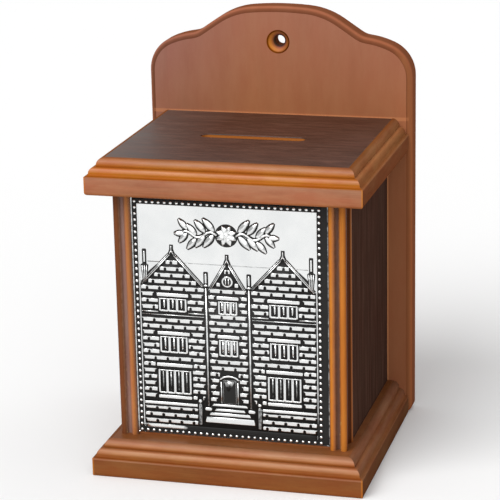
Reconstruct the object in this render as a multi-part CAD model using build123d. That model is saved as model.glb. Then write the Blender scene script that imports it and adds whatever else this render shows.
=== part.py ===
from build123d import *
import os
from math import cos, radians, sin

# Wooden donation box with a shaped back board, moulded lid and base, and a pressed metal plaque.
# Millimetres, +Z up, the front faces -Y and X runs to the right seen from the front.
# The origin is the middle of the footprint, at the underside of the base.

# ---- back board --------------------------------------------------------------------------------
overall_depth = 113.4
board_width = 123.0
board_height = 190.5
board_thickness = 10.0
board_foot_radius = 3.0
edge_step = 0.4            # small step where the moulded edge starts
edge_ovolo = 2.1           # quarter round outside the step
crest_top_radius = 143.5   # the crest as a chain of tangent arcs, from the middle outward
crest_top_turn = 5.2
crest_brow_radius = 34.0
crest_brow_turn = 28.8
crest_cove_radius = 9.5
crest_cove_turn = 26.7
crest_shoulder_radius = 38.3
crest_shoulder_turn = 17.1
crest_corner_radius = 16.0
hanging_hole_height = 174.5
hanging_hole_diameter = 4.8
countersink_diameter = 10.4
countersink_depth = 3.6

# ---- moulding used on the lid and on the base --------------------------------------------------
bead_radius = 3.0
quirk_depth = 0.6
quirk_width = 0.3
ovolo_radius = 2.4
cove_radius = 1.2
arris_radius = 0.4
moulding_height = 15.5
lid_foot_radius = 1.4
base_foot_radius = 0.5
ledge_width = 8.0          # shelf inside the moulding that carries the panel
mitre_margin = 1.0         # how far the mitre cuts run past the section
panel_thickness = 6.0

# ---- lid and base ------------------------------------------------------------------------------
lid_width = 120.0
lid_reach = 99.5           # from the board's face to the lid's front
lid_top = 141.1
base_width = 120.4
coin_slot_length = 47.0
coin_slot_width = 6.2
coin_slot_reach = 46.8     # from the board's face to the slot's centre line
coin_slot_arris = 0.4

# ---- body --------------------------------------------------------------------------------------
body_reach = 90.8          # from the board's face to the fronts of the corner posts
post_outer = 50.8          # half the width over the corner posts
post_width = 7.6
post_depth = 14.0
post_bead_radius = 1.4
corner_bead_radius = 1.5
corner_bead_tail = 2.0     # the corner bead runs on round the side at this easier radius
corner_bead_tail_turn = 55.0
post_groove_sink = 0.7
post_flat = 7.0            # where the post's plain side face lies, from its inner face
side_step = 0.5
side_step_start = 5.0      # marks along the post's side, from its front
side_groove_start = 6.4
side_groove_end = 9.5
side_groove_sink = 1.0
side_bead_start = 10.3
side_bead_end = 13.6
rebate_depth = 2.5
side_panel_thickness = 4.0
tongue_thickness = 2.0
front_panel_thickness = 5.0
front_panel_setback = 2.5  # behind the fronts of the posts
plaque_thickness = 1.0
plaque_sheet = 0.6
plaque_border = 2.9
plaque_gap = 0.1
plaque_lift = 1.1          # strips of front panel left showing under and over the plaque
plaque_drop = 2.1
cleat_size = 8.0

# ---- screws through the back board -------------------------------------------------------------
back_screw_head_radius = 3.0
back_screw_radius = 1.5
back_screw_length = 16.0
back_screw_tip = 2.0
back_screw_recess = 1.0
recess_arm = 0.55          # driver cross: reach and width of an arm against the head's radius
recess_width = 0.28
back_screw_heights = (35.0, 106.0)

# ---- trap door in the bottom -------------------------------------------------------------------
opening_width = 64.0
opening_depth = 50.0
opening_front = -23.0
door_side_gap = 0.5
door_rear_gap = 0.5
door_front_gap = 1.0
door_drop = 0.2            # the door's top lies this much below the panel's
stop_length = 48.0
stop_depth = 15.0
stop_thickness = 5.0
stop_overhang = 9.0
magnet_size = (10.0, 4.0, 2.5)
plate_size = (14.0, 5.0, 0.8)
catch_setback = 4.5        # from the opening's front edge to the middle of the catch
knob_setback = 10.0        # from the opening's front edge to the knob
knob_radius = 4.0
knob_height = 7.0
knob_neck_radius = 2.0
knob_collar = 0.8          # how far the foot of the neck flares out
knob_crown = 0.8
knob_collar_end = 1.1      # levels below the door where the turned shape changes
knob_waist = 2.8
knob_rim = 3.85
knob_stud_radius = 1.5
knob_stud_length = 4.3

# ---- hinges ------------------------------------------------------------------------------------
hinge_spacing = 40.0
hinge_width = 16.0
hinge_leaf_length = 9.5
hinge_leaf_thickness = 0.6
hinge_leaf_setback = 1.8   # plate starts this far from the axis, clear of the other leaf's knuckle
hinge_axis_drop = 1.7      # below the underside of the bottom panel
knuckle_radius = 1.4
centre_knuckle = 5.4
knuckle_side_gap = 0.1
pin_radius = 0.6
pin_running_gap = 0.05
pin_head_radius = 1.0
pin_head_thickness = 0.4
hinge_screw_offset = 5.9   # from the axis
hinge_screw_pitch = 9.0
hinge_screw_head_radius = 1.6
hinge_screw_radius = 0.9
hinge_screw_length = 4.8
hinge_screw_tip = 0.8
hinge_screw_recess = 0.4

# ---- places worked out from the sizes above ----------------------------------------------------
board_back = overall_depth / 2
board_front = board_back - board_thickness
base_top = moulding_height
body_top = lid_top - moulding_height
moulding_run = bead_radius + quirk_width + ovolo_radius + cove_radius + arris_radius
lid_front = board_front - lid_reach
base_front = -board_back
lid_panel_edge = (lid_width / 2 - moulding_run, lid_front + moulding_run)
base_panel_edge = (base_width / 2 - moulding_run, base_front + moulding_run)
post_front = board_front - body_reach
post_inner = post_outer - post_width
front_panel_face = post_front + front_panel_setback
panel_underside = base_top - panel_thickness
opening_rear = opening_front + opening_depth
door_front = opening_front + door_front_gap
door_rear = opening_rear - door_rear_gap
door_top = base_top - door_drop
catch_y = opening_front + catch_setback
hinge_axis_y = opening_rear - door_rear_gap / 2
hinge_axis_z = panel_underside - hinge_axis_drop
hinge_centres = (-hinge_spacing / 2, hinge_spacing / 2)
cleat_x = post_inner + post_flat - side_panel_thickness - cleat_size / 2


def span(x_range, y_range, z_range):
    """Box between two limits on each axis."""
    size = [high - low for low, high in (x_range, y_range, z_range)]
    centre = [(high + low) / 2 for low, high in (x_range, y_range, z_range)]
    return Pos(*centre) * Box(*size)


def quarter(start, end, centre):
    """Quarter circle from start to end about centre."""
    start, end, centre = Vector(*start), Vector(*end), Vector(*centre)
    middle = centre + ((start - centre) + (end - centre)).normalized() * (start - centre).length
    return ThreePointArc(start, middle, end)


def mirrored(shape):
    """The same piece on the other side of the box."""
    return mirror(shape, about=Plane.YZ)


# ---- back board --------------------------------------------------------------------------------

def board_outline():
    """Front view of the board: shaped crest, straight sides, rounded feet."""
    half = board_width / 2
    brow_slope = crest_top_turn + crest_brow_turn
    cove_slope = brow_slope - crest_cove_turn
    shoulder_slope = cove_slope + crest_shoulder_turn
    reach = crest_top_radius * sin(radians(crest_top_turn))
    reach += crest_brow_radius * (sin(radians(brow_slope)) - sin(radians(crest_top_turn)))
    reach += crest_cove_radius * (sin(radians(brow_slope)) - sin(radians(cove_slope)))
    reach += crest_shoulder_radius * (sin(radians(shoulder_slope)) - sin(radians(cove_slope)))
    reach += crest_corner_radius * (1 - sin(radians(shoulder_slope)))
    slope_length = (half - reach) / cos(radians(brow_slope))

    top = JernArc((0, board_height), (1, 0), crest_top_radius, -crest_top_turn)
    brow = JernArc(top @ 1, top % 1, crest_brow_radius, -crest_brow_turn)
    slope = Line(brow @ 1, brow @ 1 + (brow % 1) * slope_length)
    cove = JernArc(slope @ 1, slope % 1, crest_cove_radius, crest_cove_turn)
    shoulder = JernArc(cove @ 1, cove % 1, crest_shoulder_radius, -crest_shoulder_turn)
    corner = JernArc(shoulder @ 1, shoulder % 1, crest_corner_radius, shoulder_slope - 90)
    side = Line(corner @ 1, (half, board_foot_radius))
    foot_centre = (half - board_foot_radius, board_foot_radius)
    foot = quarter(side @ 1, (half - board_foot_radius, 0), foot_centre)
    sole = Line(foot @ 1, (0, 0))
    right = Curve() + [top, brow, slope, cove, shoulder, corner, side, foot, sole]
    return make_face(right + mirrored(right))


def back_screw():
    """Countersunk screw, head at the origin, pointing along +Z."""
    tip = back_screw_length - back_screw_tip
    head = back_screw_head_radius - back_screw_radius
    profile = Polyline((0, 0), (back_screw_head_radius, 0), (back_screw_radius, head),
                       (back_screw_radius, tip), (0, back_screw_length), close=True)
    return revolve(Plane.XZ * make_face(profile), Axis.Z)


def cross_recess(radius, depth):
    """Cross slot for a driver, cut into a head that starts at the origin."""
    arm = Box(radius * recess_arm * 2, radius * recess_width, depth * 2)
    return arm + Rot(0, 0, 90) * arm


def back_screw_places():
    """Where the four back screws stand, each pointing forward from the board's back."""
    spots = [(side * cleat_x, height) for side in (-1, 1) for height in back_screw_heights]
    return [Plane((x, board_back, z), x_dir=(1, 0, 0), z_dir=(0, -1, 0)) for x, z in spots]


def back_screw_bores():
    return [place * back_screw() for place in back_screw_places()]


def back_screws():
    screw = back_screw() - cross_recess(back_screw_head_radius, back_screw_recess)
    return [place * screw for place in back_screw_places()]


def back_board():
    flat = Plane((0, board_back, 0), x_dir=(1, 0, 0), z_dir=(0, -1, 0))
    outline = board_outline()
    blank = extrude(flat * outline, amount=board_thickness - edge_step)
    front_edges = blank.faces().sort_by(Axis.Y)[0].edges()
    rounded = fillet(front_edges, edge_ovolo)
    field = offset(outline, amount=-(edge_step + edge_ovolo))
    board = rounded + extrude(flat * field, amount=board_thickness)
    hole = Plane((0, board_front, hanging_hole_height), x_dir=(1, 0, 0), z_dir=(0, 1, 0))
    through = Cylinder(hanging_hole_diameter / 2, board_thickness * 3)
    sink = Cone(countersink_diameter / 2, hanging_hole_diameter / 2, countersink_depth)
    board -= hole * (through + Pos(0, 0, countersink_depth / 2) * sink)
    return board - back_screw_bores()


# ---- lid and base mouldings --------------------------------------------------------------------

def moulding_section(foot):
    """Cross-section, x outward from the panel's edge, y down from its top face, bottom rounded by foot."""
    step_1 = bead_radius
    step_2 = step_1 + quirk_width
    step_3 = step_2 + ovolo_radius
    step_4 = step_3 + cove_radius
    fall_1 = bead_radius
    fall_2 = fall_1 + quirk_depth
    fall_3 = fall_2 + ovolo_radius
    fall_4 = fall_3 + cove_radius
    fall_5 = fall_4 + arris_radius
    lines = [
        quarter((0, 0), (step_1, fall_1), (0, fall_1)),
        Polyline((step_1, fall_1), (step_1, fall_2), (step_2, fall_2)),
        quarter((step_2, fall_2), (step_3, fall_3), (step_2, fall_3)),
        quarter((step_3, fall_3), (step_4, fall_4), (step_4, fall_3)),
        quarter((step_4, fall_4), (moulding_run, fall_5), (step_4, fall_5)),
        Line((moulding_run, fall_5), (moulding_run, moulding_height - foot)),
        quarter((moulding_run, moulding_height - foot), (moulding_run - foot, moulding_height),
                (moulding_run - foot, moulding_height - foot)),
        Polyline((moulding_run - foot, moulding_height), (-ledge_width, moulding_height),
                 (-ledge_width, panel_thickness), (0, panel_thickness), (0, 0)),
    ]
    return make_face(Curve() + lines)


def mitre_plan(points):
    return extrude(make_face(Polyline(*points, close=True)), amount=board_height)


def front_moulding(edge, top, foot):
    """Front length, cut to 45 degree mitres; edge is the panel's front right corner."""
    edge_x, edge_y = edge
    section = Plane((0, edge_y, top), x_dir=(0, -1, 0), z_dir=(1, 0, 0)) * moulding_section(foot)
    length = extrude(section, amount=board_width, both=True)
    out = moulding_run + mitre_margin
    into = ledge_width + mitre_margin
    plan = mitre_plan([(-edge_x - out, edge_y - out), (edge_x + out, edge_y - out),
                       (edge_x - into, edge_y + into), (-edge_x + into, edge_y + into)])
    return length & plan


def side_moulding(edge, top, foot):
    """Right-hand length, mitred at the front and square against the back board."""
    edge_x, edge_y = edge
    section = Plane((edge_x, 0, top), x_dir=(1, 0, 0), z_dir=(0, 1, 0)) * moulding_section(foot)
    length = extrude(section, amount=board_width, both=True)
    out = moulding_run + mitre_margin
    into = ledge_width + mitre_margin
    plan = mitre_plan([(edge_x + out, edge_y - out), (edge_x + out, board_front),
                       (edge_x - into, board_front), (edge_x - into, edge_y + into)])
    return length & plan


def lid_panel():
    edge_x, edge_y = lid_panel_edge
    panel = span((-edge_x, edge_x), (edge_y, board_front), (lid_top - panel_thickness, lid_top))
    slot_y = board_front - coin_slot_reach
    slot = extrude(SlotOverall(coin_slot_length, coin_slot_width), amount=panel_thickness * 2, both=True)
    panel -= Pos(0, slot_y, lid_top) * slot
    rim = panel.faces().sort_by(Axis.Z)[-1].inner_wires()[0].edges()
    return fillet(rim, coin_slot_arris)


def bottom_panel():
    edge_x, edge_y = base_panel_edge
    panel = span((-edge_x, edge_x), (edge_y, board_front), (panel_underside, base_top))
    opening = span((-opening_width / 2, opening_width / 2), (opening_front, opening_rear),
                   (0, base_top * 2))
    return panel - opening - hinge_screw_bodies(1)


# ---- body --------------------------------------------------------------------------------------

def post_section():
    """Plan of the right post: x outward from its inner face, y back from its front."""
    bead = post_bead_radius
    corner = corner_bead_radius
    corner_x = post_width - corner
    groove = (bead * 2, corner_x - corner)
    groove_bottom = (sum(groove) / 2, bead + post_groove_sink)
    step = post_flat - side_step
    cove_middle = (side_groove_start + side_groove_end) / 2
    bead_middle = (side_bead_start + side_bead_end) / 2
    tail = JernArc((post_width, corner), (0, 1), corner_bead_tail, corner_bead_tail_turn)
    lines = [
        Line((0, post_depth), (0, bead)),
        ThreePointArc((0, bead), (bead, 0), (groove[0], bead)),
        ThreePointArc((groove[0], bead), groove_bottom, (groove[1], corner)),
        quarter((groove[1], corner), (corner_x, 0), (corner_x, corner)),
        quarter((corner_x, 0), (post_width, corner), (corner_x, corner)),
        tail,
        Polyline(tail @ 1, (post_flat, (tail @ 1).Y), (post_flat, side_step_start),
                 (step, side_step_start), (step, side_groove_start)),
        ThreePointArc((step, side_groove_start), (step - side_groove_sink, cove_middle),
                      (step, side_groove_end)),
        Line((step, side_groove_end), (step, side_bead_start)),
        ThreePointArc((step, side_bead_start), (post_width, bead_middle), (step, side_bead_end)),
        Polyline((step, side_bead_end), (post_flat, side_bead_end), (post_flat, post_depth),
                 (0, post_depth)),
    ]
    return make_face(Curve() + lines)


def corner_post():
    """Right post, rebated for the front panel and grooved for the side panel's tongue."""
    corner = Pos(post_inner, post_front, base_top)
    post = corner * extrude(post_section(), amount=body_top - base_top)
    heights = (base_top, body_top)
    rebate = span((post_inner, post_inner + rebate_depth),
                  (front_panel_face, front_panel_face + front_panel_thickness), heights)
    inner = post_inner + post_flat - side_panel_thickness
    rear = post_front + post_depth
    groove = span((inner, inner + tongue_thickness), (rear - rebate_depth, rear), heights)
    return post - rebate - groove


def side_panel():
    """Right side panel, with a tongue along its front edge."""
    outer = post_inner + post_flat
    inner = outer - side_panel_thickness
    front = post_front + post_depth
    heights = (base_top, body_top)
    panel = span((inner, outer), (front, board_front), heights)
    tongue = span((inner, inner + tongue_thickness), (front - rebate_depth, front), heights)
    return panel + tongue


def front_panel():
    half = post_inner + rebate_depth
    return span((-half, half), (front_panel_face, front_panel_face + front_panel_thickness),
                (base_top, body_top))


def plaque():
    """Thin sheet with a raised border, bonded to the front panel between the posts."""
    half = post_inner - plaque_gap
    low = base_top + plaque_lift
    high = body_top - plaque_drop
    sheet = span((-half, half), (front_panel_face - plaque_sheet, front_panel_face), (low, high))
    frame_y = (front_panel_face - plaque_thickness, front_panel_face)
    frame = span((-half, half), frame_y, (low, high))
    border = plaque_border
    frame -= span((border - half, half - border), (frame_y[0] - 1, frame_y[1] + 1),
                  (low + border, high - border))
    return sheet + frame


def rear_cleat():
    """Right glue block in the corner between the side panel and the back board."""
    half = cleat_size / 2
    block = span((cleat_x - half, cleat_x + half), (board_front - cleat_size, board_front),
                 (base_top, body_top))
    return block - back_screw_bores()


# ---- trap door ---------------------------------------------------------------------------------

def trap_door():
    half = opening_width / 2 - door_side_gap
    door = span((-half, half), (door_front, door_rear), (panel_underside, door_top))
    door -= Pos(0, catch_y, door_top - plate_size[2] / 2) * Box(*plate_size)
    door -= knob_place() * Cylinder(knob_stud_radius, knob_stud_length * 2)
    return door - hinge_screw_bodies(-1)


def knob_place():
    return Pos(0, opening_front + knob_setback, panel_underside)


def door_knob():
    """Turned knob under the door, short enough to clear a table top."""
    neck = knob_neck_radius
    top = knob_radius - knob_crown
    fall = knob_crown - knob_height
    sides = Polyline((0, knob_stud_length), (knob_stud_radius, knob_stud_length),
                     (knob_stud_radius, 0), (neck + knob_collar, 0), (neck, -knob_collar_end),
                     (neck, -knob_waist), (knob_radius, -knob_rim), (knob_radius, fall))
    face = quarter((knob_radius, fall), (top, -knob_height), (top, fall))
    closing = Polyline((top, -knob_height), (0, -knob_height), (0, knob_stud_length))
    profile = make_face(Curve() + [sides, face, closing])
    return knob_place() * revolve(Plane.XZ * profile, Axis.Z)


def door_stop_strip():
    """Strip on top of the bottom panel that the door closes up against; it holds the magnet."""
    rear = opening_front + stop_overhang
    strip = span((-stop_length / 2, stop_length / 2), (rear - stop_depth, rear),
                 (base_top, base_top + stop_thickness))
    return strip - catch_magnet()


def catch_magnet():
    return Pos(0, catch_y, base_top + magnet_size[2] / 2) * Box(*magnet_size)


def catch_plate():
    return Pos(0, catch_y, door_top - plate_size[2] / 2) * Box(*plate_size)


# ---- hinges ------------------------------------------------------------------------------------

def along_axis(centre_x, radius, length):
    """Cylinder on the hinge axis, centred at centre_x."""
    return Pos(centre_x, hinge_axis_y, hinge_axis_z) * Rot(0, 90, 0) * Cylinder(radius, length)


def hinge_screw():
    """Countersunk screw, head at the origin, pointing along +Z."""
    tip = hinge_screw_length - hinge_screw_tip
    profile = Polyline((0, 0), (hinge_screw_head_radius, 0), (hinge_screw_radius, hinge_leaf_thickness),
                       (hinge_screw_radius, tip), (0, hinge_screw_length), close=True)
    return revolve(Plane.XZ * make_face(profile), Axis.Z)


def hinge_screw_places(side):
    """Two screws per leaf; side is 1 for the fixed leaves and -1 for the door leaves."""
    y = hinge_axis_y + side * hinge_screw_offset
    z = panel_underside - hinge_leaf_thickness
    offsets = (-hinge_screw_pitch / 2, hinge_screw_pitch / 2)
    return [Pos(centre + offset, y, z) for centre in hinge_centres for offset in offsets]


def hinge_screw_bodies(side):
    return [place * hinge_screw() for place in hinge_screw_places(side)]


def hinge_screws(side):
    screw = hinge_screw() - cross_recess(hinge_screw_head_radius, hinge_screw_recess)
    return [place * screw for place in hinge_screw_places(side)]


def leaf_plate(centre_x, side):
    """Flat of a leaf, with tabs that reach its own knuckles."""
    levels = (panel_underside - hinge_leaf_thickness, panel_underside)
    near = hinge_axis_y + side * hinge_leaf_setback
    far = hinge_axis_y + side * hinge_leaf_length
    edge = hinge_axis_y + side * door_rear_gap / 2
    half = hinge_width / 2
    plate = span((centre_x - half, centre_x + half), sorted((near, far)), levels)
    inner = centre_knuckle / 2
    if side < 0:
        return plate + span((centre_x - inner, centre_x + inner), sorted((edge, near)), levels)
    inner += knuckle_side_gap
    for sign in (-1, 1):
        tab_x = sorted((centre_x + sign * inner, centre_x + sign * half))
        plate += span(tab_x, sorted((edge, near)), levels)
    return plate


def fixed_leaf(centre_x):
    """Leaf under the bottom panel, with the two outer knuckles."""
    inner = centre_knuckle / 2 + knuckle_side_gap
    length = hinge_width / 2 - inner
    leaf = leaf_plate(centre_x, 1)
    for sign in (-1, 1):
        leaf += along_axis(centre_x + sign * (inner + length / 2), knuckle_radius, length)
    leaf -= along_axis(centre_x, pin_radius, hinge_width * 2)
    return leaf - hinge_screw_bodies(1)


def door_leaf(centre_x):
    """Leaf under the trap door, with the centre knuckle, free to turn on the pin."""
    leaf = leaf_plate(centre_x, -1) + along_axis(centre_x, knuckle_radius, centre_knuckle)
    leaf -= along_axis(centre_x, pin_radius + pin_running_gap, hinge_width * 2)
    return leaf - hinge_screw_bodies(-1)


def hinge_pin(centre_x):
    pin = along_axis(centre_x, pin_radius, hinge_width)
    for sign in (-1, 1):
        head_x = centre_x + sign * (hinge_width + pin_head_thickness) / 2
        pin += along_axis(head_x, pin_head_radius, pin_head_thickness)
    return pin


# ---- assembly ----------------------------------------------------------------------------------

def both_sides(name, shape):
    return {name + "_right": shape, name + "_left": mirrored(shape)}


def all_parts():
    parts = {"back_board": back_board(), "lid_panel": lid_panel(), "bottom_panel": bottom_panel()}
    parts["lid_moulding_front"] = front_moulding(lid_panel_edge, lid_top, lid_foot_radius)
    parts |= both_sides("lid_moulding", side_moulding(lid_panel_edge, lid_top, lid_foot_radius))
    parts["base_moulding_front"] = front_moulding(base_panel_edge, base_top, base_foot_radius)
    parts |= both_sides("base_moulding", side_moulding(base_panel_edge, base_top, base_foot_radius))
    parts |= both_sides("corner_post", corner_post())
    parts |= both_sides("side_panel", side_panel())
    parts |= both_sides("rear_cleat", rear_cleat())
    parts["front_panel"] = front_panel()
    parts["plaque"] = plaque()
    parts["back_screws"] = Compound(back_screws())
    parts["trap_door"] = trap_door()
    parts["door_knob"] = door_knob()
    parts["door_stop_strip"] = door_stop_strip()
    parts["catch_magnet"] = catch_magnet()
    parts["catch_plate"] = catch_plate()
    parts["hinge_screws_panel"] = Compound(hinge_screws(1))
    parts["hinge_screws_door"] = Compound(hinge_screws(-1))
    for centre_x, side in zip(hinge_centres, ("left", "right")):
        parts["hinge_fixed_leaf_" + side] = fixed_leaf(centre_x)
        parts["hinge_door_leaf_" + side] = door_leaf(centre_x)
        parts["hinge_pin_" + side] = hinge_pin(centre_x)
    return parts


os.makedirs("parts", exist_ok=True)
for name, shape in all_parts().items():
    export_step(shape, "parts/" + name + ".step")
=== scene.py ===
import math
import random

import bpy
from mathutils import Matrix, Vector

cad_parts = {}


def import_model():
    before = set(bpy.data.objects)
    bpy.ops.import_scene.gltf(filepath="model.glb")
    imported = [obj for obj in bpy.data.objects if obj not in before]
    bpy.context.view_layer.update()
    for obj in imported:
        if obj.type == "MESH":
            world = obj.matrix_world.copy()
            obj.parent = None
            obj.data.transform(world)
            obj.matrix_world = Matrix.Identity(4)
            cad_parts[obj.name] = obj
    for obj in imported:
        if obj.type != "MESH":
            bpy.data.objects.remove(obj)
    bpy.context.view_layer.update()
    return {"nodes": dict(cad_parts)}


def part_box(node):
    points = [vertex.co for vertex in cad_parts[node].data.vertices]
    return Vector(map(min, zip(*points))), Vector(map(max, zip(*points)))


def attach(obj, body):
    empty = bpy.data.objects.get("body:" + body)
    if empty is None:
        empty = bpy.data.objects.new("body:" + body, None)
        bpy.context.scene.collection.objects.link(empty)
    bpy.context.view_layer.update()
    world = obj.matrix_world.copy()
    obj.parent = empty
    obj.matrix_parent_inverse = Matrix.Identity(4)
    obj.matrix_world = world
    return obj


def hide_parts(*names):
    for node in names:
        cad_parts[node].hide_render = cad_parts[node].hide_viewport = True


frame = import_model()
nodes = frame["nodes"]
MM = 0.001


# ---- node tree helpers -----------------------------------------------------------------------

class Shader:
    """A material's node tree, built a node at a time; values are numbers, tuples or sockets."""

    def __init__(self, name):
        self.material = bpy.data.materials.new(name)
        self.material.use_nodes = True
        self.tree = self.material.node_tree
        self.bsdf = self.tree.nodes["Principled BSDF"]

    def put(self, socket, value):
        if isinstance(value, bpy.types.NodeSocket):
            self.tree.links.new(value, socket)
        else:
            socket.default_value = value

    def node(self, kind, inputs=None, **settings):
        made = self.tree.nodes.new("ShaderNode" + kind)
        for key, value in settings.items():
            setattr(made, key, value)
        for key, value in (inputs or {}).items():
            self.put(made.inputs[key], value)
        return made

    def surface(self, **sockets):
        for key, value in sockets.items():
            self.put(self.bsdf.inputs[key.replace("_", " ")], value)

    def place(self):
        return self.node("TexCoord").outputs["Object"]

    def stretched(self, scale, offset=(0, 0, 0)):
        mapping = self.node("Mapping", {"Vector": self.place(), "Scale": scale, "Location": offset})
        return mapping.outputs["Vector"]

    def noise(self, vector, scale, detail, roughness=0.55, distortion=0.0):
        made = self.node("TexNoise", {"Vector": vector, "Scale": scale, "Detail": detail,
                                      "Roughness": roughness, "Distortion": distortion})
        return made.outputs["Fac"]

    def ramp(self, factor, stops):
        """Colour by factor, from (position, colour) stops."""
        made = self.node("ValToRGB", {"Fac": factor})
        elements = made.color_ramp.elements
        while len(elements) < len(stops):
            elements.new(0.5)
        for element, (position, colour) in zip(elements, stops):
            element.position = position
            element.color = (*colour, 1)
        return made.outputs["Color"]

    def mix(self, factor, first, second, blend="MIX"):
        made = self.node("Mix", data_type="RGBA", blend_type=blend)
        self.put(made.inputs[0], factor)
        self.put(made.inputs[6], first)
        self.put(made.inputs[7], second)
        return made.outputs[2]

    def math(self, operation, first, second=0.0):
        made = self.node("Math", operation=operation)
        self.put(made.inputs[0], first)
        self.put(made.inputs[1], second)
        return made.outputs[0]

    def span(self, value, low, high, out_low=0.0, out_high=1.0):
        made = self.node("MapRange", {"Value": value, "From Min": low, "From Max": high,
                                      "To Min": out_low, "To Max": out_high})
        return made.outputs["Result"]

    def band(self, value, low, high, soft=0.0002):
        """One between low and high, fading to nothing just past them."""
        away = self.math("ABSOLUTE", self.math("SUBTRACT", value, (low + high) / 2))
        return self.span(away, (high - low) / 2 + soft, (high - low) / 2)

    def axes(self):
        return self.node("SeparateXYZ", {"Vector": self.place()}).outputs

    def bump(self, height, strength, distance):
        made = self.node("Bump", {"Height": height, "Strength": strength, "Distance": distance})
        self.put(self.bsdf.inputs["Normal"], made.outputs["Normal"])


def grey(value):
    return (value, value, value)


# ---- wood ------------------------------------------------------------------------------------

def grain_scale(axis, stretch):
    scale = [1.0, 1.0, 1.0]
    scale[axis] = 1.0 / stretch
    return tuple(scale)


def wood(name, tones, axis, offset, figure=0.5, roughness=(0.38, 0.5), gloss=0.07,
         pores=0.25, tint=None, stretch=22.0, streaks=170.0, cloudy=0.25, contrast=1.0, patchy=0.6):
    """Stained wood: tones are dark, middle and light; axis is the way the grain runs."""
    s = Shader(name)
    fine = s.noise(s.stretched(grain_scale(axis, stretch), offset), 1500.0, 5.0, 0.6)
    broad = s.noise(s.stretched(grain_scale(axis, stretch * 0.4), offset), streaks, 3.0, 0.5, 0.6)
    cloud = s.noise(s.place(), 26.0, 2.0)
    grain = s.mix(figure, fine, broad)
    grain = s.mix(cloudy, grain, cloud)
    dark, middle, light = tones
    colour = s.ramp(grain, [(0.3, dark), (0.5, middle), (0.7, light)])
    speck = s.noise(s.stretched(grain_scale(axis, 5.0), offset), 4200.0, 2.0, 0.7)
    colour = s.mix(pores, colour, s.ramp(speck, [(0.35, grey(0.45)), (0.55, grey(1.0))]), "MULTIPLY")
    if tint:
        s.grain_light = s.ramp(grain, [(0.3, grey(1 - 0.22 * contrast)), (0.5, grey(1.0)),
                                       (0.7, grey(1 + 0.16 * contrast))])
        colour = tint(s, colour)
    patches = s.noise(s.stretched(grain_scale(axis, 3.0), offset), 130.0, 4.0, 0.7)
    redder = (1 - 0.05 * patchy, 1 - 0.16 * patchy, 1 - 0.24 * patchy)
    yellower = (1 + 0.04 * patchy, 1 + 0.13 * patchy, 1 + 0.06 * patchy)
    colour = s.mix(1.0, colour, s.ramp(patches, [(0.36, redder), (0.64, yellower)]), "MULTIPLY")
    s.surface(Base_Color=colour, Roughness=s.span(grain, 0.3, 0.7, *roughness), Specular_IOR_Level=gloss)
    s.bump(s.mix(0.5, fine, speck), 0.12, 0.00006)
    return s.material


# Colour by level down a moulding, as shares of its height: stain thin on the beads and thick in the grooves,
# with painted highlights on the beads and painted bounce light deepening the grooves' orange. The side
# tables are darker copies, painted shade, with their grooves lifted by painted light.
LID_STAIN_AND_HIGHLIGHTS = [
    (0.0, (0.20, 0.06, 0.018)), (0.04, (0.33, 0.13, 0.058)), (0.09, (0.38, 0.17, 0.105)),
    (0.14, (0.39, 0.145, 0.055)), (0.19, (0.36, 0.112, 0.013)), (0.235, (0.27, 0.070, 0.003)),
    (0.255, (0.36, 0.11, 0.02)), (0.285, (0.48, 0.205, 0.115)), (0.33, (0.43, 0.165, 0.065)),
    (0.38, (0.37, 0.115, 0.008)), (0.43, (0.34, 0.090, 0.002)), (0.465, (0.27, 0.068, 0.001)),
    (0.485, (0.30, 0.12, 0.06)), (0.51, (0.33, 0.145, 0.09)), (0.62, (0.31, 0.125, 0.073)),
    (0.9, (0.295, 0.11, 0.057)), (0.96, (0.28, 0.09, 0.03)), (1.0, (0.2, 0.055, 0.012)),
]
LID_SIDE_STAIN_AND_SHADE = [
    (0.0, (0.18, 0.06, 0.018)), (0.05, (0.27, 0.112, 0.052)), (0.14, (0.26, 0.104, 0.044)),
    (0.2, (0.29, 0.115, 0.047)), (0.245, (0.34, 0.135, 0.056)), (0.28, (0.28, 0.11, 0.046)),
    (0.33, (0.26, 0.10, 0.04)), (0.42, (0.27, 0.103, 0.04)), (0.455, (0.25, 0.09, 0.032)),
    (0.48, (0.30, 0.125, 0.06)), (0.52, (0.17, 0.058, 0.028)), (0.9, (0.16, 0.053, 0.024)),
    (1.0, (0.12, 0.035, 0.012)),
]
BASE_STAIN_AND_HIGHLIGHTS = [
    (0.0, (0.24, 0.10, 0.05)), (0.08, (0.38, 0.18, 0.11)), (0.14, (0.36, 0.15, 0.07)),
    (0.19, (0.24, 0.07, 0.015)), (0.225, (0.18, 0.045, 0.006)), (0.24, (0.28, 0.10, 0.04)),
    (0.27, (0.42, 0.20, 0.12)), (0.33, (0.37, 0.16, 0.08)), (0.385, (0.27, 0.09, 0.025)),
    (0.43, (0.21, 0.055, 0.006)), (0.465, (0.20, 0.05, 0.008)), (0.485, (0.26, 0.10, 0.05)),
    (0.505, (0.32, 0.14, 0.08)), (0.53, (0.185, 0.062, 0.02)), (0.9, (0.19, 0.06, 0.016)),
    (1.0, (0.15, 0.045, 0.01)),
]
BASE_SIDE_STAIN_AND_SHADE = [
    (0.0, (0.19, 0.078, 0.042)), (0.08, (0.205, 0.09, 0.054)), (0.19, (0.21, 0.086, 0.045)),
    (0.235, (0.235, 0.093, 0.044)), (0.27, (0.20, 0.085, 0.05)), (0.385, (0.205, 0.083, 0.042)),
    (0.45, (0.21, 0.08, 0.034)), (0.485, (0.20, 0.08, 0.042)), (0.53, (0.13, 0.053, 0.028)),
    (0.9, (0.125, 0.05, 0.024)), (1.0, (0.11, 0.042, 0.02)),
]


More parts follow.
